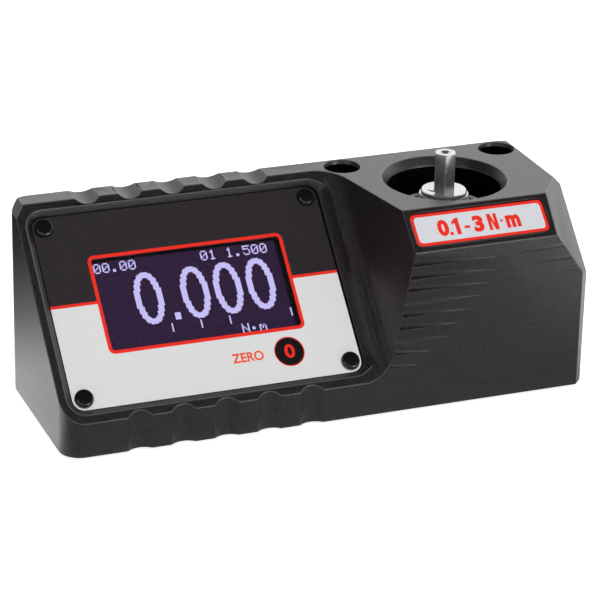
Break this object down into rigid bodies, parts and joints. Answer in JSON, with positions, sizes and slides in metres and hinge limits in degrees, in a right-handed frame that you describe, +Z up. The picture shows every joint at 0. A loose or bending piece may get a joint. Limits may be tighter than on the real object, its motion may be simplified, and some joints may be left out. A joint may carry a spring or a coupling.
{
  "type": "torque wrench tester",
  "caption": "Bench tester for torque wrenches: black milled body with a sloped display panel, and a block with a male hexagon drive in a round well.",
  "frame": {"origin": "middle of the footprint, on the surface that the feet stand on", "axes": "+Z up, +X to the right along the body, +Y from the front lip to the back"},
  "size_m": [0.26, 0.09, 0.1086],
  "materials": {
    "anodised": "satin black anodised, fine bead-blasted grain",
    "panel_print": "satin printed plate, dark upper part and light grey lower part",
    "display_lens": "glossy tinted window",
    "display_case": "matt black",
    "circuit_board": "green solder resist",
    "button_black": "fine matt, raised red mark",
    "inner_plastic": "moulded matt",
    "rocker_plastic": "moulded, slightly glossy",
    "label_print": "satin printed label with a red border",
    "transducer_steel": "blackened turned steel with a bright edge",
    "bright_steel": "ground and polished",
    "spring_steel": "plain spring steel",
    "black_screw": "black oxide, semi-gloss",
    "small_screw": "zinc plated",
    "brass_spacer": "turned brass",
    "socket_shell": "pressed plated steel",
    "foot_rubber": "matt black rubber"
  },
  "bodies": {
    "body": {"housing": "anodised", "base_plate": "anodised", "front_panel": "panel_print", "display_window": "display_lens", "display_module": "display_case", "display_board": "circuit_board", "button_switch": "inner_plastic", "range_label": "label_print", "transducer_body": "transducer_steel", "hex_drive": "bright_steel", "bearing_ring": "bright_steel", "retaining_ring": "spring_steel", "main_board": "circuit_board", "power_socket": "inner_plastic", "data_socket": "socket_shell", "rocker_frame": "inner_plastic", "panel_screw_1": "black_screw", "panel_screw_2": "black_screw", "panel_screw_3": "black_screw", "panel_screw_4": "black_screw", "panel_spacer_1": "brass_spacer", "panel_spacer_2": "brass_spacer", "panel_spacer_3": "brass_spacer", "panel_spacer_4": "brass_spacer", "board_screw_1": "small_screw", "board_screw_2": "small_screw", "board_screw_3": "small_screw", "board_screw_4": "small_screw", "transducer_screw_1": "black_screw", "transducer_screw_2": "black_screw", "transducer_screw_3": "black_screw", "transducer_screw_4": "black_screw", "base_screw_1": "black_screw", "base_screw_2": "black_screw", "base_screw_3": "black_screw", "base_screw_4": "black_screw", "base_screw_5": "black_screw", "base_screw_6": "black_screw", "foot_1": "foot_rubber", "foot_2": "foot_rubber", "foot_3": "foot_rubber", "foot_4": "foot_rubber", "board_standoff_1": "brass_spacer", "board_standoff_2": "brass_spacer", "board_standoff_3": "brass_spacer", "board_standoff_4": "brass_spacer", "main_board_screw_1": "small_screw", "main_board_screw_2": "small_screw", "main_board_screw_3": "small_screw", "main_board_screw_4": "small_screw"},
    "zero_button": {"zero_button": "button_black", "switch_plunger": "inner_plastic"},
    "power_rocker": {"power_rocker": "rocker_plastic"}
  },
  "joints": [
    {"name": "zero_button_press", "type": "slide", "parent": "body", "child": "zero_button", "axis": [0, 0.7007, -0.7134], "range_m": [0, 0.0006], "stiffness_N_per_m": 2500, "springref_m": -0.0004},
    {"name": "power_rocker_tilt", "type": "hinge", "parent": "body", "child": "power_rocker", "pos_m": [-0.04, 0.0404, 0.0435], "axis": [1, 0, 0], "range_deg": [0, 16]}
  ]
}
